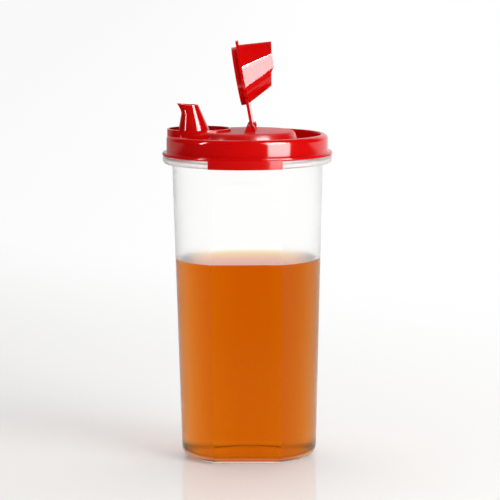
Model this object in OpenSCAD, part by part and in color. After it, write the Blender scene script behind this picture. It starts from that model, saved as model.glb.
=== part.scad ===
// Table bottle for sauce or oil: a tapered round bottle with a flat window,
// a press-on lid with a pouring spout in a drip well, and a hooded flip cap.
// Origin: centre of the base on the bottle's axis. +Z up, window towards -Y, spout towards -X.

/* [Bottle] */
// Outer radius at the table, before the corner is rounded
base_r = 43.6; // [38:0.1:44.5]
// Outer radius where the wall meets the stacking bead
shoulder_r = 48.7; // [46:0.1:50]
// Height of the bead's underside
shoulder_h = 192; // [150:0.5:230]
// Thickness of the bottle's wall
wall_t = 1.6; // [1.2:0.1:2.2]
// Thickness of the bottle's floor
floor_t = 2.2; // [1.5:0.1:4]
// Radius of the rounded corner at the base
corner_r = 7; // [4:0.5:10]

/* [Stacking bead and neck] */
// Outer radius of the bead
bead_r = 54.8; // [53.8:0.1:58]
// Height of the bead
bead_h = 5; // [4.4:0.1:8]
// Radial thickness of the bead's lip
lip_t = 2.6; // [1.8:0.1:2.8]
// Distance from the bead's outer edge in to the neck that the lid grips
neck_step = 4.05; // [3.4:0.05:4.3]
// Height of the neck above the bead
neck_h = 11.8; // [9:0.1:16]

/* [Window] */
// Depth of the window flat below the round wall
window_depth = 5.9; // [3:0.1:8]
// Radius of the curve that ends the window at its top
arch_r = 17; // [8:0.5:24]
// Height left between that curve and the bead
arch_gap = 4; // [3:0.5:8]

/* [Sauce] */
// Height of the sauce's surface above the table
fill_h = 129.8; // [30:0.1:140]
// Gap between the sauce and the bottle's wall
fill_gap = 0.1; // [0.05:0.05:0.3]

/* [Lid] */
// Thickness of the lid's walls
lid_t = 1.25; // [1:0.05:1.6]
// Gap between the lid and the bottle's neck, bead and rim
lid_gap = 0.3; // [0.2:0.05:0.4]
// Width of the flange outside the lid's wall
flange_w = 2.8; // [2:0.1:4]
// Height of the flange
flange_h = 2.4; // [2.3:0.1:3.6]
// Radius of the lid's rounded top edge
lid_edge_r = 3; // [2.4:0.1:3]
// Depth of the sunken deck below the lid's top
deck_drop = 7.35; // [5:0.05:8.5]
// Length of the sealing skirt below the deck
skirt_h = 2.25; // [1:0.05:3]

/* [Pull tab] */
// Width of the pull tab at the front of the lid
tab_w = 47.5; // [25:0.5:60]
// Length of the pull tab below the flange's underside
tab_drop = 4.9; // [3:0.1:6]
// Thickness of the pull tab
tab_t = 1.2; // [1:0.05:2]

/* [Platform] */
// Radius of the raised platform's top
platform_r = 30.5; // [28:0.1:31]
// Distance of the platform's centre from the bottle's axis, away from the spout
platform_x = -0.4; // [-1:0.1:3]
// Height of the platform above the deck
platform_h = 9.5; // [8:0.1:10]
// Slope of the platform's side, in degrees from upright
platform_slope = 26; // [20:1:30]

/* [Drip well] */
// Outer radius of the drip well's wall
well_r = 20.8; // [19:0.1:22]
// Distance from the lid's outer face in to the drip well's outer face
well_inset = 0.45; // [0:0.05:2]
// Height of the drip well's edge above the platform
well_rise = 1.7; // [1.5:0.05:1.9]

/* [Spout] */
// Outer radius of the spout at the deck
spout_base_r = 13.2; // [11:0.1:14]
// Outer radius of the spout just under its lip
spout_mouth_r = 4.95; // [4:0.05:5.5]
// Height of the spout above the deck
spout_h = 26.5; // [20:0.1:27]
// Distance of the spout's foot from the drip well's centre, away from the hinge
spout_shift = 2.15; // [0:0.05:2.5]
// Lean of the spout away from the hinge over its height
spout_lean = 3.4; // [0:0.1:4]
// Reach of the pouring lip beyond the cone
beak_reach = 4; // [1:0.1:4.5]
// Rise of the pouring lip's tip
beak_rise = 1; // [0:0.1:1.5]
// Thickness of the spout's wall
spout_t = 1.25; // [1:0.05:1.6]

/* [Hinge] */
// Distance of the hinge pin from the bottle's axis, away from the spout
pin_x = 2.8; // [0:0.1:6]
// Height of the pin's axis above the platform
pin_rise = 2.4; // [2.2:0.05:2.6]
// Radius of the hinge pins
pin_r = 1.3; // [1:0.05:1.4]
// Running clearance of a pin in its snap bearing
pin_gap = 0.05; // [0.02:0.01:0.1]
// Radial thickness of the snap bearing round the pin
ear_ring_t = 1.6; // [1:0.05:2]
// Width of the snap bearing's mouth
ear_mouth_w = 2; // [1.4:0.1:2.2]
// Thickness of each ear along the pin
ear_t = 3.1; // [2:0.1:4]
// Length of the ear's foot from the pin towards the spout
ear_foot = 4.4; // [3:0.1:6]

/* [Flip cap] */
// How far the cap stands open, in degrees: 0 is closed
open_angle = 80; // [0:1:140]
// Thickness of the cap's plate
plate_t = 1.8; // [1.4:0.05:1.8]
// Width of the plate's neck between the hinge ears
plate_neck_w = 30.2; // [20:0.1:34]
// Radius of the plate's round part
plate_r = 21; // [20:0.1:24]
// Length of the lift tab beyond the plate's round part
lift_len = 1.7; // [1:0.1:4]
// Width of the lift tab
lift_w = 16; // [10:0.5:20]
// Gap between the plate's underside and the drip well's edge
plate_gap = 0.5; // [0.3:0.05:0.6]
// Gap between the sealing collar and the drip well
collar_gap = 0.6; // [0.5:0.05:1]
// Depth of the sealing collar below the pin's axis
collar_drop = 3.6; // [1.5:0.1:3.8]
// Wall thickness of the hood and the collar
hood_t = 1.4; // [1:0.05:1.6]
// Height of the hood's nose above the pin's axis
hood_h = 22.4; // [21:0.1:26]
// Reach of the hood's nose beyond the centre of the collar, at the plate
hood_reach = 19.85; // [19.2:0.05:20.6]
// Drop of the hood's back behind the nose
hood_step = 2.2; // [0:0.1:3]

/* [Hidden] */
$fn = 96;
past = 1;

frosted = [0.93, 0.93, 0.92, 0.45];
orange = [0.80, 0.36, 0.02];
red = [0.80, 0.03, 0.05];

// Heights, from the table up
bead_top = shoulder_h + bead_h;
web_z = bead_top - wall_t;
rim_top = bead_top + neck_h;
lid_top = rim_top + lid_gap + lid_t;
deck_z = lid_top - deck_drop;
skirt_z = deck_z - lid_t - skirt_h;
platform_top = deck_z + platform_h;
well_top = platform_top + well_rise;
pin_z = platform_top + pin_rise;

// Radii of the neck and of the lid that grips it
neck_r = bead_r - neck_step;
lid_r = neck_r + lid_gap + lid_t;
flange_r = lid_r + flange_w;
plug_r = neck_r - wall_t - lid_gap;
plug_in_r = plug_r - lid_t;
rim_edge_r = lid_edge_r - lid_t - lid_gap;

// Drip well and spout
well_x = -(lid_r - well_inset - well_r);
well_in_r = well_r - lid_t;
spout_x = well_x - spout_shift;

// Taper of the bottle's wall, in degrees
taper = atan((shoulder_r - base_r) / shoulder_h);
arch_z = shoulder_h - arch_gap - arch_r;

// Flip cap, in a frame at the pin with the cap closed: the plate reaches towards -X
bore_r = pin_r + pin_gap;
plate_low = well_top + plate_gap - pin_z;
plate_high = plate_low + plate_t;
barrel_r = plate_high - 0.15;
ear_gap = 0.3;
cap_x = well_x - pin_x;
collar_r = well_in_r - collar_gap;
collar_in_r = collar_r - hood_t;
lift_end = cap_x - plate_r - lift_len;

function wall_r(z) = base_r + (shoulder_r - base_r) * z / shoulder_h;

// Points of an arc in a flat outline, by centre, radius and angles in degrees
function arc(x, y, r, from, to, steps = 8) =
    [for (i = [0:steps]) let (a = from + (to - from) * i / steps) [x + r * cos(a), y + r * sin(a)]];

// Lower part of a section of the bottle, set in from its outer face
function foot(inset, bottom) = concat(
    [[0, bottom]],
    arc(wall_r(corner_r) - corner_r, bottom + corner_r - inset, corner_r - inset, -90, -taper, 12));

function middle(ring) = [for (k = [0:2]) [for (p = ring) p[k]] * [for (p = ring) 1] / len(ring)];

// Solid between rings that have the same number of points, closed by a fan at each end
module loft(rings) {
    n = len(rings[0]);
    m = len(rings);
    points = concat([for (ring = rings) each ring], [middle(rings[0]), middle(rings[m - 1])]);
    sides = [for (i = [0:m - 2], j = [0:n - 1]) let (k = (j + 1) % n)
        each [[i * n + j, (i + 1) * n + k, i * n + k], [i * n + j, (i + 1) * n + j, (i + 1) * n + k]]];
    low = [for (j = [0:n - 1]) [m * n, j, (j + 1) % n]];
    high = [for (j = [0:n - 1]) [m * n + 1, (m - 1) * n + (j + 1) % n, (m - 1) * n + j]];
    polyhedron(points, concat(sides, low, high));
}

// What the flat window takes off the round bottle, set in by the wall for the inside
module window_cut(inset, bottom) {
    rotate([taper, 0, 0])
        translate([0, -(base_r - window_depth), 0]) {
            translate([-lid_r, -shoulder_r, -past])
                cube([2 * lid_r, shoulder_r + inset, arch_z + past]);
            translate([-lid_r, -arch_r, arch_z])
                rotate([0, 90, 0])
                    cylinder(r = arch_r + inset, h = 2 * lid_r);
        }
    corner_y = -(wall_r(corner_r) - window_depth - corner_r);
    corner_z = bottom + corner_r - inset;
    difference() {
        translate([-lid_r, corner_y - shoulder_r, bottom - past])
            cube([2 * lid_r, shoulder_r, corner_z - bottom + past]);
        translate([-lid_r - past, corner_y, corner_z])
            rotate([0, 90, 0])
                cylinder(r = corner_r - inset, h = 2 * (lid_r + past));
    }
}

// Stacking bead: a web out from the wall and a lip that hangs from the web's edge
module bead() {
    lip_in_r = bead_r - lip_t;
    fillet = 1.5;
    rotate_extrude()
        polygon(concat(
            [[neck_r - 3 * wall_t, web_z - fillet], [wall_r(web_z) - fillet / 3, web_z - fillet]],
            [[wall_r(web_z) + fillet * 2 / 3, web_z], [lip_in_r - 0.6, web_z], [lip_in_r, web_z - 0.6]],
            arc(lip_in_r + 0.4, shoulder_h + 0.4, 0.4, 180, 270, 3),
            arc(lip_in_r + 0.4, shoulder_h + lip_t - 0.4, lip_t - 0.4, -90, 0),
            arc(bead_r - 1.2, bead_top - 1.2, 1.2, 0, 90, 5),
            [[neck_r - 3 * wall_t, bead_top]]));
}

module bottle() {
    step_z = bead_top - wall_t / 2;
    outside = concat(
        foot(0, 0),
        [[wall_r(step_z), step_z], [neck_r, step_z]],
        arc(neck_r - rim_edge_r, rim_top - rim_edge_r, rim_edge_r, 0, 90, 5),
        [[0, rim_top]]);
    inside = concat(
        foot(wall_t, floor_t),
        [[wall_r(web_z - wall_t) - wall_t, web_z - wall_t], [neck_r - wall_t, bead_top]],
        [[neck_r - wall_t, rim_top + past], [0, rim_top + past]]);
    color(frosted)
        difference() {
            union() {
                rotate_extrude() polygon(outside);
                bead();
            }
            window_cut(0, 0);
            difference() {
                rotate_extrude() polygon(inside);
                window_cut(wall_t, floor_t);
            }
        }
}

module sauce() {
    inset = wall_t + fill_gap;
    section = concat(foot(inset, floor_t), [[wall_r(fill_h) - inset, fill_h], [0, fill_h]]);
    color(orange)
        difference() {
            rotate_extrude() polygon(section);
            window_cut(inset, floor_t);
        }
}

// Rim, flange, sealing plug and deck of the lid in one turned section
module lid_ring() {
    low_edge = 1;
    section = concat(
        [[0, deck_z - lid_t], [plug_in_r, deck_z - lid_t], [plug_in_r, skirt_z]],
        [[plug_r - 0.5, skirt_z], [plug_r, skirt_z + 1]],
        [[plug_r, lid_top - lid_t]],
        arc(lid_r - lid_edge_r, lid_top - lid_edge_r, lid_edge_r - lid_t, 90, 0, 5),
        [[lid_r - lid_t, bead_top]],
        arc(flange_r - low_edge, bead_top + low_edge, low_edge, -90, 0, 5),
        arc(flange_r - 1.3, bead_top + flange_h - 1.3, 1.3, 0, 90),
        [[lid_r + 0.4, bead_top + flange_h], [lid_r, bead_top + flange_h + 0.4]],
        arc(lid_r - lid_edge_r, lid_top - lid_edge_r, lid_edge_r, 0, 90),
        arc(plug_in_r + 1, lid_top - 1, 1, 90, 180, 5),
        arc(plug_in_r - 1, deck_z + 1, 1, 0, -90, 5),
        [[0, deck_z]]);
    rotate_extrude() polygon(section);
}

// Solid cone of the platform; shrink is the wall left round the hollow under it
module platform_form(shrink) {
    top = platform_top - shrink;
    edge = 0.8;
    foot_z = deck_z - lid_t / 2 - (shrink > 0 ? lid_t : 0);
    slope = tan(platform_slope);
    side = platform_r - shrink / cos(platform_slope) + (shrink > 0 ? shrink * slope : 0);
    translate([platform_x, 0, 0])
        rotate_extrude()
            polygon(concat(
                [[0, foot_z], [side + (top - foot_z) * slope, foot_z]],
                [[side + edge * slope, top - edge], [side - edge * 0.2, top - edge * 0.25]],
                [[side - edge, top], [0, top]]));
}

// Ring of the spout at a share s of its height, thinner by inset
spout_sides = 48;
function spout_ring(s, inset) =
    let (flare = pow(max(0, (s - 0.78) / 0.22), 1.6))
    [for (j = [0:spout_sides - 1])
        let (a = 360 * j / spout_sides,
             lean = pow(max(0, -cos(a)), 2),
             r = spout_base_r + (spout_mouth_r - spout_base_r) * s - inset)
        [spout_x - spout_lean * s + r * cos(a) - beak_reach * flare * lean,
         r * sin(a),
         deck_z + spout_h * s + beak_rise * flare * lean]];

module spout(inset, levels) {
    loft([for (s = levels) spout_ring(s, inset)]);
}

// Snap bearing for one hinge pin, open at its top, with a foot on the platform
module ear() {
    ring_r = bore_r + ear_ring_t;
    rotate([90, 0, 0])
        linear_extrude(ear_t)
            difference() {
                union() {
                    circle(ring_r);
                    polygon([[-ear_foot, -pin_rise - lid_t / 2], [-ear_foot, -pin_rise],
                        [-ring_r * cos(20), ring_r * sin(20)], [0, 0], [ring_r, 0],
                        [ring_r, -pin_rise - lid_t / 2]]);
                }
                circle(bore_r);
                rotate(-15)
                    translate([-ear_mouth_w / 2, 0])
                        square([ear_mouth_w, 2 * ring_r]);
            }
}

module pull_tab() {
    half_angle = asin(tab_w / 2 / (bead_r + lid_gap + tab_t));
    inner = bead_r + lid_gap;
    section = [[inner, bead_top - tab_drop], [inner + tab_t, bead_top - tab_drop],
        [inner + tab_t, bead_top + flange_h * 0.35], [inner - 0.4, bead_top + flange_h * 0.7],
        [flange_r - 1.5, bead_top + flange_h * 0.5], [flange_r - 1.5, bead_top], [inner, bead_top]];
    rotate([0, 0, 270 - half_angle])
        rotate_extrude(angle = 2 * half_angle) polygon(section);
}

// Wall round the drip well, cut away where the neck's channel passes under it
module well_wall() {
    low = deck_z - lid_t / 2;
    seam = lid_t / 3;
    difference() {
        translate([well_x, 0, low]) cylinder(r = well_r, h = well_top - low);
        translate([well_x, 0, low - past]) cylinder(r = well_in_r, h = well_top - low + 2 * past);
        rotate_extrude()
            polygon(concat(
                [[plug_r - seam, 0], [lid_r - lid_t + seam, 0]],
                arc(lid_r - lid_edge_r, lid_top - lid_edge_r, lid_edge_r - lid_t + seam, 0, 90, 5),
                [[plug_r - seam, lid_top - lid_t + seam]]));
    }
}

module lid() {
    ears_y = plate_neck_w / 2 + ear_gap;
    color(red)
        difference() {
            union() {
                lid_ring();
                pull_tab();
                difference() {
                    platform_form(0);
                    translate([well_x, 0, deck_z])
                        cylinder(r = well_in_r + lid_t / 2, h = platform_h + past);
                }
                well_wall();
                spout(0, [-0.02, 0.25, 0.5, 0.7, 0.78, 0.84, 0.89, 0.93, 0.97, 1]);
                for (side = [1, -1])
                    translate([pin_x, side * (ears_y + ear_t / 2) + ear_t / 2, pin_z]) ear();
            }
            difference() {
                platform_form(lid_t);
                translate([well_x, 0, 0]) cylinder(r = well_r, h = lid_top + platform_h);
            }
            spout(spout_t, [-0.15, 0.25, 0.5, 0.7, 0.78, 0.84, 0.89, 0.93, 0.97, 1.05]);
        }
}

// Outline of the hood at a share s of its height: a round nose, a flank that tapers to it from a
// soft crease, a nearly flat side, and half an ellipse at the back
hood_crease_r = hood_t + 0.6;
hood_lean = 0.15;
function hood_side_y(x, s) = 15.1 - hood_lean * (cap_x - x) - 6.9 * s;
function flank_arc(x, y, r, from, to, steps) =
    [for (i = [0:steps]) let (e = from + (to - from) * i / steps) [x - r * sin(e), y + r * cos(e)]];
function hood_ring(s, inset) =
    let (nose_r = 6.5 - 3 * s,
         nose_x = cap_x - hood_reach + 1.5 * s + nose_r,
         side_e = atan(hood_lean),
         crease_x = cap_x - 6.15 - 5 * s,
         wide_x = cap_x + 5.25 - 10.9 * s,
         back_x = cap_x + 18.25 - 10.8 * s,
         round_x = crease_x + hood_crease_r * sin(side_e),
         round_y = hood_side_y(crease_x, s) - hood_crease_r * cos(side_e),
         flank_e = acos((nose_r - hood_crease_r) / norm([round_x - nose_x, round_y]))
             - atan2(round_x - nose_x, round_y),
         half = concat(
             flank_arc(nose_x, 0, nose_r - inset, 90, flank_e, 9),
             flank_arc(round_x, round_y, hood_crease_r - inset, flank_e, side_e, 3),
             [for (i = [0:12]) let (a = 90 - 7.5 * i)
                 [wide_x + (back_x - wide_x - inset) * cos(a), (hood_side_y(wide_x, s) - inset) * sin(a)]]),
         ring = concat([for (p = half) [p[0], -p[1]]], [for (i = [len(half) - 2:-1:1]) half[i]]))
    [for (p = ring) [p[0], p[1], plate_high + (hood_h - plate_high) * s]];

// Space above the hood's stepped top, lowered by drop for the inside
module hood_top_cut(drop) {
    rise = hood_h - drop;
    reach = 2 * plate_r;
    nose = 1.5 - hood_reach;
    translate([cap_x, reach, 0])
        rotate([90, 0, 0])
            linear_extrude(2 * reach)
                polygon([[nose - reach, rise + 0.08 * reach], [nose, rise], [nose + 8, rise - 1.1], [-2.05, rise - 1.1],
                    [1, rise - 1.1 - hood_step], [10.25, rise - 2.7 - hood_step],
                    [-cap_x, rise - 6.7 - hood_step], [-cap_x, rise + reach], [nose - reach, rise + reach]]);
}

module hood(inset, drop, bottom) {
    difference() {
        loft([hood_ring(bottom, inset), hood_ring(1, inset)]);
        hood_top_cut(drop);
    }
}

// Room for the spout: inside the hood, then through the plate and the collar
module cap_inside() {
    ledge = 0.2;
    difference() {
        hood(hood_t, hood_t, -0.1);
        translate([cap_x, 0, plate_low - past])
            difference() {
                cylinder(r = 2 * collar_r, h = plate_t + past);
                translate([0, 0, -past]) cylinder(r = collar_in_r - ledge, h = plate_t + 3 * past);
            }
    }
    translate([cap_x, 0, -collar_drop - past])
        cylinder(r = collar_in_r, h = collar_drop + past + plate_low);
}

module cap_closed() {
    neck = plate_neck_w / 2;
    difference() {
        union() {
            translate([0, neck, 0]) rotate([90, 0, 0]) cylinder(r = barrel_r, h = 2 * neck);
            translate([0, neck + ear_t, 0]) rotate([90, 0, 0]) cylinder(r = pin_r, h = 2 * (neck + ear_t));
            translate([0, 0, plate_low]) linear_extrude(plate_t) plate_outline();
            translate([cap_x, 0, -collar_drop]) cylinder(r = collar_r, h = collar_drop + plate_low + plate_t / 2);
            hood(0, 0, -0.02);
        }
        cap_inside();
    }
}

module plate_outline() {
    translate([cap_x, 0]) circle(plate_r);
    translate([cap_x, -plate_neck_w / 2]) square([-cap_x, plate_neck_w]);
    corner = 3;
    translate([lift_end + corner, -lift_w / 2]) square([plate_r, lift_w]);
    translate([lift_end, -lift_w / 2 + corner]) square([plate_r, lift_w - 2 * corner]);
    for (side = [1, -1])
        translate([lift_end + corner, side * (lift_w / 2 - corner)]) circle(corner);
}

module flip_cap() {
    color(red)
        translate([pin_x, 0, pin_z])
            rotate([0, open_angle, 0])
                cap_closed();
}

bottle();
sauce();
lid();
flip_cap();
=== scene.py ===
# %% [markdown]
# # A frosted sauce bottle with a red flip-cap lid
# The bottle was designed as solids first. This scene dresses those solids: frosted and polished
# plastic, amber sauce, glossy red mouldings, and the pale studio that they stand in.
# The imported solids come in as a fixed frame, in metres, with +Z up and the window towards -Y.

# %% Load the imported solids
import math

import bpy
from mathutils import Matrix, Vector


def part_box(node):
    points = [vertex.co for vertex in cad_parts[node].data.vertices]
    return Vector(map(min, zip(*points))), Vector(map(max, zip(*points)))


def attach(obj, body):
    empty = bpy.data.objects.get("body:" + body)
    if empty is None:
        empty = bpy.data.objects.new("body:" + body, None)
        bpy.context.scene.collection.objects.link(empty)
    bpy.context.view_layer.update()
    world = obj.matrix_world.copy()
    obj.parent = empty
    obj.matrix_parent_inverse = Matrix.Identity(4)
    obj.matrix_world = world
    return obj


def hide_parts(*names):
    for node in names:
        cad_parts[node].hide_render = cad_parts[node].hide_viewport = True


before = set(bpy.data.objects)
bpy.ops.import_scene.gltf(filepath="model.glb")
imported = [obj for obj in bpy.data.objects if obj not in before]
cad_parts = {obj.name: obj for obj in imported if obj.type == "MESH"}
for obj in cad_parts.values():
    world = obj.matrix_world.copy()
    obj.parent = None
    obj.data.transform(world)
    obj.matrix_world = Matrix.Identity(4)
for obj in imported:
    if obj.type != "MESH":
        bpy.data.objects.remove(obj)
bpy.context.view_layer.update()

# %% [markdown]
# ## The camera
# The photograph was taken from about two metres away with a long lens, a little above the lid and
# a touch to the right of the window. A long lens keeps the ellipses flat, so the distance matters
# as much as the angle. The numbers come from fitting known circles of the lid to the picture.
# Such a fit gives the focal length in pixels of the picture. Blender wants it in millimetres on a
# sensor, so it is scaled by the sensor's width over the picture's.

# %% Place the camera
MM = 0.001
CAMERA_DISTANCE, CAMERA_HEIGHT = 2000, 381.2
CAMERA_TURN = math.radians(1.6)
CAMERA_PITCH = math.radians(7.026)
CAMERA_ROLL = math.radians(-0.353)
FOCAL_PIXELS, PICTURE_PIXELS, SENSOR_WIDTH = 3099.9, 500, 36
FRAMING_SHIFT = 0.0041


def make_camera():
    data = bpy.data.cameras.new("camera")
    data.sensor_width = SENSOR_WIDTH
    data.lens = FOCAL_PIXELS * SENSOR_WIDTH / PICTURE_PIXELS
    data.shift_x = FRAMING_SHIFT
    data.clip_start, data.clip_end = 0.1, 60
    camera = bpy.data.objects.new("camera", data)
    bpy.context.scene.collection.objects.link(camera)
    east, north = CAMERA_DISTANCE * math.sin(CAMERA_TURN), -CAMERA_DISTANCE * math.cos(CAMERA_TURN)
    place = Vector((east, north, CAMERA_HEIGHT)) * MM
    turn, roll = Matrix.Rotation(CAMERA_TURN, 4, "Z"), Matrix.Rotation(CAMERA_ROLL, 4, "Z")
    aim = turn @ Matrix.Rotation(math.pi / 2 - CAMERA_PITCH, 4, "X") @ roll
    camera.matrix_world = Matrix.Translation(place) @ aim
    bpy.context.scene.camera = camera
    return camera


camera = make_camera()
bpy.context.scene.view_settings.view_transform = "Standard"
print("camera at", tuple(round(v, 3) for v in camera.location))

# %% [markdown]
# ## Helpers for materials
# Every material here is a small tree of shader nodes. It could be wired by hand in the editor, but
# a few short functions keep the trees readable and repeatable: one adds a node and sets its inputs,
# one joins two sockets, one does a sum, and one turns a range of one value into another, which is
# how a mask is made.

# %% Node helpers


def new_material(name):
    material = bpy.data.materials.new(name)
    material.use_nodes = True
    tree = material.node_tree
    tree.nodes.clear()
    return material, tree


def add(tree, kind, **values):
    node = tree.nodes.new("ShaderNode" + kind)
    for key, value in values.items():
        if hasattr(node, key) and key not in node.inputs:
            setattr(node, key, value)
        else:
            node.inputs[key.replace("_", " ")].default_value = value
    return node


def join(tree, source, target, output=0, entry=0):
    tree.links.new(source.outputs[output], target.inputs[entry])


def math_node(tree, operation, a, b=0.0, c=0.0):
    node = tree.nodes.new("ShaderNodeMath")
    node.operation = operation
    for slot, value in enumerate((a, b, c)):
        if isinstance(value, bpy.types.NodeSocket):
            tree.links.new(value, node.inputs[slot])
        else:
            node.inputs[slot].default_value = value
    return node.outputs[0]


def map_range(tree, value, low, high, to_low=0.0, to_high=1.0, smooth=False):
    node = tree.nodes.new("ShaderNodeMapRange")
    node.interpolation_type = "SMOOTHSTEP" if smooth else "LINEAR"
    tree.links.new(value, node.inputs["Value"])
    for key, number in (("From Min", low), ("From Max", high), ("To Min", to_low), ("To Max", to_high)):
        node.inputs[key].default_value = number
    return node.outputs["Result"]


print("node helpers:", [helper.__name__ for helper in (new_material, add, join, math_node, map_range)])

# %% [markdown]
# ## Moulded skin
# A steel mould leaves a faint, irregular skin on every plastic part: broad flow waviness and a fine
# grain. The red and the clear plastics have it at their own scale, so it is a node group, built
# once. It gives a height for a bump and a grain value for the roughness. Real displacement would
# cost thousands of faces for something a fingernail can't feel.

# %% The moulded-skin node group


def make_skin_group():
    group = bpy.data.node_groups.new("moulded_skin", "ShaderNodeTree")
    face = group.interface
    for name, value in (("Wave Scale", 60.0), ("Grain Scale", 900.0), ("Grain Share", 0.3)):
        face.new_socket(name, in_out="INPUT", socket_type="NodeSocketFloat").default_value = value
    face.new_socket("Height", in_out="OUTPUT", socket_type="NodeSocketFloat")
    face.new_socket("Grain", in_out="OUTPUT", socket_type="NodeSocketFloat")
    inlet, outlet = group.nodes.new("NodeGroupInput"), group.nodes.new("NodeGroupOutput")
    place = add(group, "TexCoord")
    wave = add(group, "TexNoise", Detail=2.0, Roughness=0.5)
    grain = add(group, "TexNoise", Detail=3.0, Roughness=0.6)
    for noise, name in ((wave, "Wave Scale"), (grain, "Grain Scale")):
        group.links.new(place.outputs["Object"], noise.inputs["Vector"])
        group.links.new(inlet.outputs[name], noise.inputs["Scale"])
    fine = math_node(group, "MULTIPLY", grain.outputs["Fac"], inlet.outputs["Grain Share"])
    group.links.new(math_node(group, "ADD", wave.outputs["Fac"], fine), outlet.inputs["Height"])
    group.links.new(grain.outputs["Fac"], outlet.inputs["Grain"])
    return group


skin_group = make_skin_group()


def add_skin(tree, **values):
    node = tree.nodes.new("ShaderNodeGroup")
    node.node_tree = skin_group
    for key, value in values.items():
        node.inputs[key.replace("_", " ")].default_value = value
    return node


print("node group:", skin_group.name)

# %% [markdown]
# ## Glossy red plastic
# The lid and the cap are one saturated red polypropylene. Their walls come from a polished mould and
# mirror the lamps. The top of the raised platform is satin, where fingers go, so it blurs the lamps
# into a soft pink sheen. Its sloping side is less so, and the pull tab only a little. The spout in
# its well and the hinge stay glossy. The lid could be given several materials face by face, but one
# material with masks by position also works where a smooth surface changes its finish. Each mask
# fades over a few tenths of a millimetre. The moulded skin adds its faint unevenness.

# %% Masks by position
PLATFORM_X, PLATFORM_REACH = -0.4 * MM, 36.8 * MM
WELL_X, WELL_REACH = -31.05 * MM, 21.0 * MM
DECK_Z, PLATFORM_EDGE_Z, PLATFORM_TOP_Z = 203.25 * MM, 211.5 * MM, 212.95 * MM
TAB_REACH = 55.45 * MM
SIDE_SHARE, TAB_SHARE = 0.45, 0.15


def centre_distance(tree, x, y, x0):
    across = math_node(tree, "SUBTRACT", x, x0)
    across_square = math_node(tree, "MULTIPLY", across, across)
    along_square = math_node(tree, "MULTIPLY", y, y)
    return math_node(tree, "SQRT", math_node(tree, "ADD", across_square, along_square))


def border(tree, value, at, half, low=0.0, high=1.0):
    return map_range(tree, value, at - half, at + half, low, high)


def satin_mask(tree):
    split = add(tree, "SeparateXYZ")
    join(tree, add(tree, "TexCoord"), split, "Object")
    x, y, z = split.outputs
    platform = border(tree, centre_distance(tree, x, y, PLATFORM_X), PLATFORM_REACH, 0.2 * MM, 1.0, 0.0)
    limits = (
        border(tree, centre_distance(tree, x, y, WELL_X), WELL_REACH, 0.1 * MM),
        border(tree, z, DECK_Z, 0.15 * MM),
        border(tree, z, PLATFORM_TOP_Z, 0.15 * MM, 1.0, 0.0),
        border(tree, z, PLATFORM_EDGE_Z, 0.3 * MM, SIDE_SHARE, 1.0),
    )
    for limit in limits:
        platform = math_node(tree, "MULTIPLY", platform, limit)
    tab = border(tree, centre_distance(tree, x, y, 0.0), TAB_REACH, 0.15 * MM, 0.0, TAB_SHARE)
    return math_node(tree, "MAXIMUM", platform, tab)


print("satin platform:", round(PLATFORM_REACH / MM, 1), "mm from its middle to its foot")

# %% The red plastic
RED = (0.60, 0.0014, 0.0012, 1)
RED_ROUGHNESS, SATIN_GAIN, RED_GRAIN_GAIN = 0.07, 0.27, 0.04


def make_red_plastic():
    material, tree = new_material("red_plastic_glossy")
    skin = add_skin(tree, Wave_Scale=45.0, Grain_Scale=700.0, Grain_Share=0.15)
    rough = math_node(tree, "MULTIPLY_ADD", satin_mask(tree), SATIN_GAIN, RED_ROUGHNESS)
    rough = math_node(tree, "MULTIPLY_ADD", skin.outputs["Grain"], RED_GRAIN_GAIN, rough)
    bump = add(tree, "Bump", Strength=0.10, Distance=0.3 * MM)
    tree.links.new(skin.outputs["Height"], bump.inputs["Height"])
    body = add(tree, "BsdfPrincipled", IOR=1.5)
    body.inputs["Base Color"].default_value = RED
    tree.links.new(rough, body.inputs["Roughness"])
    join(tree, bump, body, 0, "Normal")
    join(tree, body, add(tree, "OutputMaterial"))
    return material


red_plastic = make_red_plastic()
print("material:", red_plastic.name, "with", len(red_plastic.node_tree.nodes), "nodes")

# %% [markdown]
# ## Frosted, milky, polished and inner clear plastic
# The round wall is etched in the mould and scatters what lies behind it. The flat window and the
# inside are polished, and the thick bead below the lid looks milky. Physically all are the same
# clear resin, so all are glass-like shaders with one index of refraction. Roughness and the share
# that passes through tell them apart, and a sheen keeps the etched outline pale.
# The index is set lower than a plastic's. With a higher one the outline of the thin wall renders
# darker than it looks in a bright room. The inside has a black specular tint: sauce and plastic
# bend light almost alike, so the faces between them hardly mirror at all.
# The two numbers after each colour are the roughness and how far the grain spreads it.

# %% The clear plastics
RESIN_BEND, SHEEN_ROUGHNESS = 1.12, 0.3
ETCHED, MILKY, CLEAR = (0.995, 0.995, 0.99), (0.98, 0.95, 0.95), (1.0, 1.0, 0.995)
ETCHED_BUMP, POLISHED_BUMP = 0.3 * MM, 0.1 * MM


def make_clear_plastic(name, colour, rough, spread, bump_height, tint=1.0, clear=1.0, sheen=0.0):
    material, tree = new_material(name)
    skin = add_skin(tree, Wave_Scale=30.0, Grain_Scale=1100.0, Grain_Share=0.5)
    level = math_node(tree, "MULTIPLY_ADD", skin.outputs["Grain"], spread, rough - spread / 2)
    bump = add(tree, "Bump", Strength=0.2, Distance=bump_height)
    tree.links.new(skin.outputs["Height"], bump.inputs["Height"])
    body = add(tree, "BsdfPrincipled", IOR=RESIN_BEND)
    body.inputs["Base Color"].default_value = (*colour, 1)
    body.inputs["Transmission Weight"].default_value = clear
    body.inputs["Specular Tint"].default_value = (tint, tint, tint, 1)
    body.inputs["Sheen Weight"].default_value = sheen
    body.inputs["Sheen Roughness"].default_value = SHEEN_ROUGHNESS
    tree.links.new(level, body.inputs["Roughness"])
    join(tree, bump, body, 0, "Normal")
    join(tree, body, add(tree, "OutputMaterial"))
    return material


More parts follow.
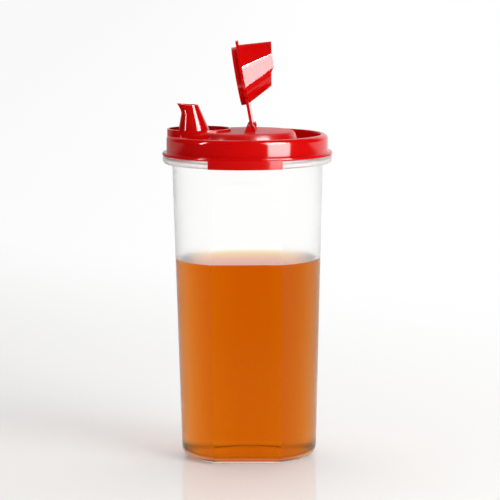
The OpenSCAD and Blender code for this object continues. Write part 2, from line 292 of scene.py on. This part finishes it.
frosted = make_clear_plastic("frosted_resin", ETCHED, 0.40, 0.10, ETCHED_BUMP, sheen=0.6)
milky = make_clear_plastic("milky_bead_resin", MILKY, 0.35, 0.10, ETCHED_BUMP, clear=0.8, sheen=0.5)
polished = make_clear_plastic("polished_resin", CLEAR, 0.03, 0.02, POLISHED_BUMP)
inner = make_clear_plastic("inner_resin", CLEAR, 0.03, 0.02, POLISHED_BUMP, tint=0.0)
print("clear plastics:", [m.name for m in (frosted, milky, polished, inner)])

# %% [markdown]
# ## Dressing the solids
# The solids come in as triangles. Welding their corners and smoothing across shallow edges gives
# clean highlights, and has to leave the solids themselves alone, so it is a modifier made of
# geometry nodes. It first drops the normals that came with the triangles, because they would keep
# every facet in sight. Each part gets the angle, in degrees, that keeps its own edges crisp.

# %% A modifier that welds and smooths
WELD_REACH = 0.002 * MM
CREASE_ANGLE = {"lid": 32, "flip_cap": 18, "bottle": 24, "sauce": 24}


def geo(tree, kind, **values):
    node = tree.nodes.new(kind)
    for key, value in values.items():
        if hasattr(node, key):
            setattr(node, key, value)
        else:
            node.inputs[key.replace("_", " ")].default_value = value
    return node


def make_dresser(name, angle, sort_faces=None):
    tree = bpy.data.node_groups.new(name, "GeometryNodeTree")
    tree.interface.new_socket("Geometry", in_out="INPUT", socket_type="NodeSocketGeometry")
    tree.interface.new_socket("Geometry", in_out="OUTPUT", socket_type="NodeSocketGeometry")
    inlet, outlet = tree.nodes.new("NodeGroupInput"), tree.nodes.new("NodeGroupOutput")
    plain = geo(tree, "GeometryNodeRemoveAttribute")
    plain.inputs["Name"].default_value = "custom_normal"
    weld = geo(tree, "GeometryNodeMergeByDistance", Distance=WELD_REACH)
    smooth = geo(tree, "GeometryNodeSetShadeSmooth")
    crease = geo(tree, "GeometryNodeSetShadeSmooth", domain="EDGE")
    crease.inputs["Shade Smooth"].default_value = False
    corner = geo(tree, "GeometryNodeInputMeshEdgeAngle")
    sharp = geo(tree, "FunctionNodeCompare", data_type="FLOAT", operation="GREATER_THAN")
    sharp.inputs[1].default_value = math.radians(angle)
    tree.links.new(corner.outputs["Unsigned Angle"], sharp.inputs[0])
    tree.links.new(sharp.outputs[0], crease.inputs["Selection"])
    chain = [inlet, plain, weld, smooth, crease]
    for a, b in zip(chain, chain[1:]):
        tree.links.new(a.outputs[0], b.inputs[0])
    last = sort_faces(tree, crease) if sort_faces else crease
    tree.links.new(last.outputs[0], outlet.inputs[0])
    return tree


print("edges stay crisp above these angles:", CREASE_ANGLE)

# %% Dress the lid and the cap


def dress(node, tree, materials):
    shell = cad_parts[node]
    shell.data.materials.clear()
    for material in materials:
        shell.data.materials.append(material)
    shell.modifiers.new("dress", "NODES").node_group = tree
    return shell


for part in ("lid", "flip_cap"):
    dress(part, make_dresser(part + "_dress", CREASE_ANGLE[part]), [red_plastic])
    print("dressed:", part, "in", red_plastic.name)

# %% [markdown]
# ## Telling the bottle's faces apart
# The bottle is one moulding with four finishes, so its modifier also sorts its faces. The wall is a
# cone that widens upwards, so its radius is a straight line of the height. A face belongs to the
# polished window if its middle lies more than a quarter of a millimetre inside that cone, and either
# above the rounded corner at the base or in the window's plane there.
# The inner faces are found by their distance from the bottle's core: that is the outer form drawn in
# by the 7 mm of its rounded corner, so outer faces lie 7 mm from it and inner faces less than 6.2 mm.
# The milky bead is simply a range of heights. Selecting faces by hand would be lost at the next size.

# %% Sums for the sorting
WALL_FOOT, WALL_RISE = 43.6 * MM, (48.7 - 43.6) / 192
WINDOW_DEPTH, WINDOW_HALF, CORNER = 5.9 * MM, 21.5 * MM, 7 * MM
WALL_INSET, PLANE_SLACK = 0.25 * MM, 0.5 * MM
CORNER_TOP, CORE_FLOOR, INNER_REACH = 7.2 * MM, 7.3 * MM, 6.2 * MM
INNER_TOP, BEAD_LOW, BEAD_HIGH = 192 * MM, 191.5 * MM, 198 * MM
POLISHED_INDEX, INNER_INDEX, MILKY_INDEX = 1, 2, 3


def compute(tree, operation, a, b=0.0):
    node = tree.nodes.new("ShaderNodeMath")
    node.operation = operation
    for slot, value in enumerate((a, b)):
        if isinstance(value, bpy.types.NodeSocket):
            tree.links.new(value, node.inputs[slot])
        else:
            node.inputs[slot].default_value = value
    return node.outputs[0]


def length_of(tree, a, b):
    squares = compute(tree, "ADD", compute(tree, "MULTIPLY", a, a), compute(tree, "MULTIPLY", b, b))
    return compute(tree, "SQRT", squares)


def set_index(tree, before, index, selection):
    sort = geo(tree, "GeometryNodeSetMaterialIndex")
    sort.inputs["Material Index"].default_value = index
    tree.links.new(selection, sort.inputs["Selection"])
    tree.links.new(before.outputs[0], sort.inputs[0])
    return sort


print("wall radius:", round(WALL_FOOT / MM, 1), "mm at the foot and", round(WALL_RISE, 4), "more per mm up")

# %% Select window, inside and bead


def select_window(tree, x, z, radius, wall, front):
    within = compute(tree, "LESS_THAN", radius, compute(tree, "SUBTRACT", wall, WALL_INSET))
    near = compute(tree, "LESS_THAN", compute(tree, "ABSOLUTE", x), WINDOW_HALF)
    low_window = compute(tree, "MULTIPLY", near, compute(tree, "GREATER_THAN", front, -PLANE_SLACK))
    above_corner = compute(tree, "GREATER_THAN", z, CORNER_TOP)
    return compute(tree, "MULTIPLY", within, compute(tree, "MAXIMUM", low_window, above_corner))


def select_inside(tree, z, radius, wall, front):
    past_wall = compute(tree, "ADD", compute(tree, "SUBTRACT", radius, wall), CORNER)
    outward = compute(tree, "MAXIMUM", past_wall, compute(tree, "ADD", front, CORNER))
    down = compute(tree, "MINIMUM", compute(tree, "SUBTRACT", z, CORE_FLOOR), 0.0)
    core = length_of(tree, compute(tree, "MAXIMUM", outward, 0.0), down)
    below_neck = compute(tree, "LESS_THAN", z, INNER_TOP)
    return compute(tree, "MULTIPLY", compute(tree, "LESS_THAN", core, INNER_REACH), below_neck)


def select_bead(tree, z):
    above, below = compute(tree, "GREATER_THAN", z, BEAD_LOW), compute(tree, "LESS_THAN", z, BEAD_HIGH)
    return compute(tree, "MULTIPLY", above, below)


def sort_bottle(tree, before):
    split = tree.nodes.new("ShaderNodeSeparateXYZ")
    tree.links.new(geo(tree, "GeometryNodeInputPosition").outputs[0], split.inputs[0])
    x, y, z = split.outputs
    radius = length_of(tree, x, y)
    wall = compute(tree, "ADD", compute(tree, "MULTIPLY", z, WALL_RISE), WALL_FOOT)
    plane = compute(tree, "SUBTRACT", wall, WINDOW_DEPTH)
    front = compute(tree, "SUBTRACT", compute(tree, "MULTIPLY", y, -1.0), plane)
    sorted_faces = set_index(tree, before, POLISHED_INDEX, select_window(tree, x, z, radius, wall, front))
    sorted_faces = set_index(tree, sorted_faces, INNER_INDEX, select_inside(tree, z, radius, wall, front))
    return set_index(tree, sorted_faces, MILKY_INDEX, select_bead(tree, z))


bottle_dress = make_dresser("bottle_dress", CREASE_ANGLE["bottle"], sort_bottle)
bottle = dress("bottle", bottle_dress, [frosted, polished, inner, milky])
print("dressed bottle with", len(bottle.data.materials), "finishes")

# %% [markdown]
# ## The sauce
# The sauce wets the wall: there is no air between them. So the piece that shows it is the solid's
# own form, grown by a hair into the wall and a little more into the floor, which lets light pass
# straight from one to the other. Its amber comes from absorption over distance, as in a real liquid:
# thin places stay yellow, the full width turns deep orange. A painted colour could not do that.
# Like the wall's, its index of refraction is set low, so that its sides stay bright.

# %% The sauce's material
SAUCE_BEND = 1.23
AMBER, AMBER_DENSITY = (0.937, 0.700, 0.033, 1), 90.0


def make_sauce_material():
    material, tree = new_material("amber_sauce")
    body = add(tree, "BsdfPrincipled", IOR=SAUCE_BEND)
    body.inputs["Base Color"].default_value = (1, 1, 1, 1)
    body.inputs["Transmission Weight"].default_value = 1.0
    body.inputs["Roughness"].default_value = 0.0
    body.inputs["Specular Tint"].default_value = (0, 0, 0, 1)
    depth = add(tree, "VolumeAbsorption")
    depth.inputs["Color"].default_value = AMBER
    depth.inputs["Density"].default_value = AMBER_DENSITY
    out = add(tree, "OutputMaterial")
    join(tree, body, out)
    join(tree, depth, out, 0, "Volume")
    return material


sauce_material = make_sauce_material()
print("material:", sauce_material.name)

# %% The sauce's form
WALL_GROWTH, FLOOR_GROWTH = 0.2 * MM, 0.8 * MM


def grow_into_wall(mesh, floor):
    for v in mesh.vertices:
        reach = math.hypot(v.co.x, v.co.y)
        if reach > 1 * MM:
            v.co.x *= 1 + WALL_GROWTH / reach
            v.co.y *= 1 + WALL_GROWTH / reach
        if v.co.z < floor + 0.1 * MM:
            v.co.z -= FLOOR_GROWTH


def make_sauce():
    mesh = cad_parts["sauce"].data.copy()
    grow_into_wall(mesh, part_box("sauce")[0].z)
    sauce = bpy.data.objects.new("sauce_fill", mesh)
    bpy.context.scene.collection.objects.link(sauce)
    mesh.materials.clear()
    mesh.materials.append(sauce_material)
    sauce.modifiers.new("dress", "NODES").node_group = make_dresser("sauce_dress", CREASE_ANGLE["sauce"])
    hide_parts("sauce")
    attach(sauce, "bottle")
    return sauce


sauce = make_sauce()
print("sauce points:", len(sauce.data.vertices))

# %% [markdown]
# ## The table
# A pale glossy table runs back into a white backdrop. Near the bottle it is a real surface, which
# takes the shadow and mirrors the base. Farther off it fades to plain white, sooner at the back and
# at the right. The earlier white at the right is painted light, and the white is a little dimmer at
# the left, which is painted shade. The lamps stay at a plain level: the far white is the backdrop's
# own, not more light.
# Rays of three kinds meet it, and the Light Path node tells them apart. The camera sees the fade.
# Rays that come through the bottle see the table almost white: painted light, which stands in for the
# light that also reaches it through a clear bottle. Mirrored rays see a room instead, from half a
# metre on: dim in front and bright only far behind, since a glossy thing shows what stands in front
# of it, and that is a studio between its lamps. The glow isn't sampled as a lamp, because it would
# then light the bottle from every side.
# The pairs of numbers are where each change begins and ends, in metres from the bottle.

# %% The table's material
TABLE_COLOUR = (0.95, 0.935, 0.905, 1)
# painted light: the slanted fade whitens the right sooner, and rays through the bottle see the table glow
# almost white
SLANTED_FADE_PAINTED_LIGHT, FADE_ROUND, THROUGH_BOTTLE_PAINTED_LIGHT = (-0.30, 0.95), (0.5, 1.6), 0.85
# painted shade: the backdrop's white is a little dimmer towards the left
PAINTED_SHADE_SPAN, PAINTED_SHADE_LEFT = (-0.5, 0.0), 0.95
ROOM_APART, ROOM_DEPTH, ROOM_WIDTH = (0.30, 0.50), (0.80, 1.40), (-0.40, 0.30)
ROOM_FRONT, ROOM_LEFT, ROOM_RIGHT = 0.04, 0.38, 1.05


def pale_fade_and_painted_light(tree, x, y, distance, through):
    # painted light: the slanted fade turns the right of the table white sooner
    fade_and_painted_light = map_range(tree, math_node(tree, "ADD", x, y), *SLANTED_FADE_PAINTED_LIGHT, smooth=True)
    # painted light: rays that come through the bottle see the table glow almost white
    fade_and_painted_light = math_node(tree, "MAXIMUM", fade_and_painted_light, math_node(tree, "MULTIPLY", through, THROUGH_BOTTLE_PAINTED_LIGHT))
    return math_node(tree, "MAXIMUM", fade_and_painted_light, map_range(tree, distance, *FADE_ROUND, smooth=True))


def mirrored_room(tree, x, y):
    back = map_range(tree, y, *ROOM_DEPTH, ROOM_FRONT, 1.0)
    side = map_range(tree, x, *ROOM_WIDTH, ROOM_LEFT, ROOM_RIGHT)
    room = add(tree, "Emission")
    tree.links.new(math_node(tree, "MULTIPLY", back, side), room.inputs["Strength"])
    return room


def blend(tree, share, first, second):
    mix = add(tree, "MixShader")
    tree.links.new(share, mix.inputs[0])
    join(tree, first, mix, 0, 1)
    join(tree, second, mix, 0, 2)
    return mix


def make_table_material():
    material, tree = new_material("pale_table")
    split = add(tree, "SeparateXYZ")
    join(tree, add(tree, "TexCoord"), split, "Object")
    x, y = split.outputs["X"], split.outputs["Y"]
    distance = centre_distance(tree, x, y, 0.0)
    path = add(tree, "LightPath")
    through = path.outputs["Is Transmission Ray"]
    top = add(tree, "BsdfPrincipled", IOR=1.16, Roughness=0.05)
    top.inputs["Base Color"].default_value = TABLE_COLOUR
    backdrop_white_painted_shade = add(tree, "Emission")
    # painted shade: the white glow dims towards the left
    tree.links.new(map_range(tree, x, *PAINTED_SHADE_SPAN, PAINTED_SHADE_LEFT, 1.0), backdrop_white_painted_shade.inputs["Strength"])
    seen = blend(tree, pale_fade_and_painted_light(tree, x, y, distance, through), top, backdrop_white_painted_shade)
    only_mirrored = math_node(tree, "SUBTRACT", path.outputs["Is Glossy Ray"], through)
    only_mirrored = math_node(tree, "MAXIMUM", only_mirrored, 0.0)
    share = math_node(tree, "MULTIPLY", only_mirrored, map_range(tree, distance, *ROOM_APART))
    join(tree, blend(tree, share, seen, mirrored_room(tree, x, y)), add(tree, "OutputMaterial"))
    material.cycles.emission_sampling = "NONE"
    return material


table_material = make_table_material()
print("material:", table_material.name, "with", len(table_material.node_tree.nodes), "nodes")

# %% The table's form
TABLE_CORNERS = [(-9, -4, 0), (9, -4, 0), (9, 14, 0), (-9, 14, 0)]


def make_table():
    mesh = bpy.data.meshes.new("table")
    mesh.from_pydata(TABLE_CORNERS, [], [(0, 1, 2, 3)])
    table = bpy.data.objects.new("table", mesh)
    bpy.context.scene.collection.objects.link(table)
    mesh.materials.append(table_material)
    return table


table = make_table()
print("table:", tuple(round(side) for side in table.dimensions), "m")

# %% [markdown]
# ## The world
# The world follows the same rule as the table. The camera and clear things see a white backdrop.
# Mirrored rays see a room that is dark in front and at the sides and bright behind, dimmer at the
# left, which is what draws the pale borders on the red walls. Everything else is lit by an even,
# soft grey from all around. A world has directions and no places: their Y is 1 straight behind the
# bottle and -1 straight in front.

# %% Make the world
SOFT_GREY, WHITE = (0.46, 0.46, 0.46, 1), (1, 1, 1, 1)
BACK_TURN, SIDE_TURN, FRONT_DARK = (0.50, 0.88), (-0.35, 0.25), 0.03


def choose(tree, share, first, second):
    mix = add(tree, "Mix", data_type="RGBA")
    tree.links.new(share, mix.inputs[0])
    for slot, colour in ((6, first), (7, second)):
        if isinstance(colour, bpy.types.NodeSocket):
            tree.links.new(colour, mix.inputs[slot])
        else:
            mix.inputs[slot].default_value = colour
    return mix.outputs[2]


def make_world():
    world = bpy.data.worlds.new("studio")
    bpy.context.scene.world = world
    world.use_nodes = True
    tree = world.node_tree
    tree.nodes.clear()
    split = add(tree, "SeparateXYZ")
    join(tree, add(tree, "TexCoord"), split, "Generated")
    back = map_range(tree, split.outputs["Y"], *BACK_TURN, FRONT_DARK, 1.0, smooth=True)
    side = map_range(tree, split.outputs["X"], *SIDE_TURN, ROOM_LEFT, ROOM_RIGHT)
    level = math_node(tree, "MULTIPLY", back, side)
    room = add(tree, "CombineColor")
    for channel in range(3):
        tree.links.new(level, room.inputs[channel])
    path = add(tree, "LightPath")
    clear = math_node(tree, "MAXIMUM", path.outputs["Is Camera Ray"], path.outputs["Is Transmission Ray"])
    others = choose(tree, path.outputs["Is Glossy Ray"], SOFT_GREY, room.outputs[0])
    sky = add(tree, "Background")
    tree.links.new(choose(tree, clear, others, WHITE), sky.inputs[0])
    join(tree, sky, add(tree, "OutputWorld"))
    return world


print("world:", make_world().name)

# %% [markdown]
# ## The lamps
# One large softbox stands at the right and a narrow one at the left, and a third light hangs above,
# a little behind. A softbox does two jobs: it lights surfaces, and it is mirrored in them. Its mirror
# image on the lid has to be brighter than its light, and brightest along a strip, so the two jobs
# are given to lamps of their own. Each row holds a name, the direction round the bottle in degrees,
# the lamp's height and distance and the panel's width and height in metres, the power in watts, and
# the job.

# %% Place the lamps
LAMPS = (
    ("softbox_right", 47, 0.75, 1.5, 0.93, 1.3, 18.5, "surfaces"),
    ("softbox_right_glare", 47, 0.455, 1.5, 0.93, 0.81, 34, "mirrors"),
    ("softbox_right_upper_glare", 47, 0.95, 1.5, 0.93, 0.18, 32, "mirrors"),
    ("softbox_right_high_glare", 47, 1.55, 1.5, 0.93, 0.75, 48, "mirrors"),
    ("softbox_left_glare", -67, 0.78, 1.4, 0.14, 0.85, 10, "mirrors"),
    ("top_light", 180, 1.6, 0.5, 1.2, 1.2, 10, "surfaces"),
)
AIM = Vector((0, 0, 0.15))


def soft_lamp(name, azimuth, height, distance, width, tall, power, job):
    data = bpy.data.lights.new(name, "AREA")
    data.shape = "RECTANGLE"
    data.size, data.size_y = width, tall
    data.energy = power
    lamp = bpy.data.objects.new(name, data)
    bpy.context.scene.collection.objects.link(lamp)
    turn = math.radians(azimuth)
    lamp.location = (distance * math.sin(turn), -distance * math.cos(turn), height)
    lamp.rotation_euler = (AIM - lamp.location).to_track_quat("-Z", "Y").to_euler()
    lamp.visible_diffuse, lamp.visible_glossy = job == "surfaces", job == "mirrors"
    lamp.visible_camera = lamp.visible_transmission = False
    return lamp


lamps = [soft_lamp(*values) for values in LAMPS]
print("lamps:", [lamp.name for lamp in lamps])
